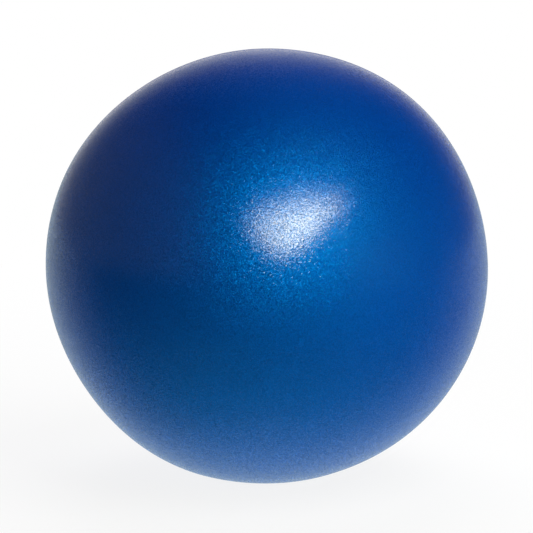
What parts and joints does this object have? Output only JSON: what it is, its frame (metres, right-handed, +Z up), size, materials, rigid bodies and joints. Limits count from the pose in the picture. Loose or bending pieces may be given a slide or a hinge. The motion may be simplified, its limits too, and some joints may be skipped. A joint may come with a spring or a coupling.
{
  "type": "pilates ball",
  "caption": "Small soft inflatable exercise ball with a grained vinyl skin, a moulded-in valve seat and a push-in valve plug.",
  "frame": {"origin": "middle of the flat patch that the standing ball presses on the floor", "axes": "+Z up through the ball's middle, +Y out along the axis of the valve, +X to the right of someone who faces the side away from the valve"},
  "size_m": [0.25, 0.2509, 0.2462],
  "materials": {
    "vinyl_blue": "satin, finely grained",
    "vinyl_blue_smooth": "satin, smooth",
    "plug_white": "satin"
  },
  "bodies": {
    "ball": {"ball_skin": "vinyl_blue", "valve_seat": "vinyl_blue_smooth"},
    "plug": {"valve_plug": "plug_white"}
  },
  "joints": [
    {"name": "plug_pull", "type": "slide", "parent": "ball", "child": "plug", "axis": [0, 1, 0], "range_m": [0, 0.025]}
  ]
}
